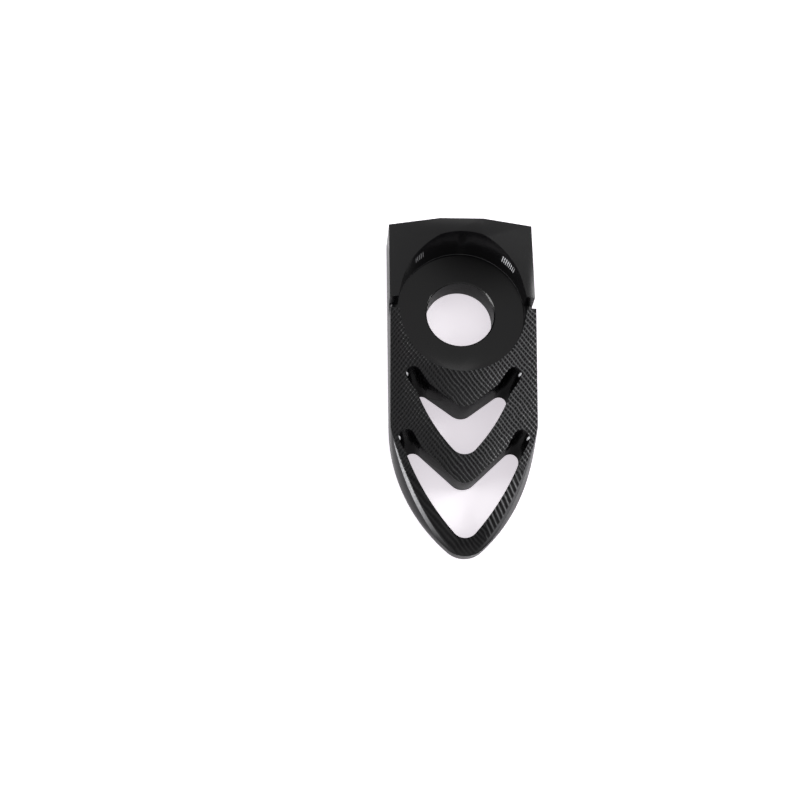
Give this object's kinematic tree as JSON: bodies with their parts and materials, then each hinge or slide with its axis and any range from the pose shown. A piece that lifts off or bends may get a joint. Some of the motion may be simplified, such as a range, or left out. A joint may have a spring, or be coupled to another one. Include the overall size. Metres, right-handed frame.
{
  "type": "chain adjuster",
  "caption": "Chain adjuster block: a round seat and bore for a wheel axle, a flat end for the adjuster bolt and a tapering windowed tail.",
  "frame": {"origin": "the axle bore's axis on the flat back face", "axes": "+Z along the axle axis, from the flat back to the pocket; +Y towards the flat bolt end"},
  "size_m": [0.0532, 0.1228, 0.0248],
  "materials": {
    "axle_block": "black anodised, with milling marks"
  },
  "bodies": {
    "root": {"axle_block": "axle_block"}
  },
  "joints": []
}
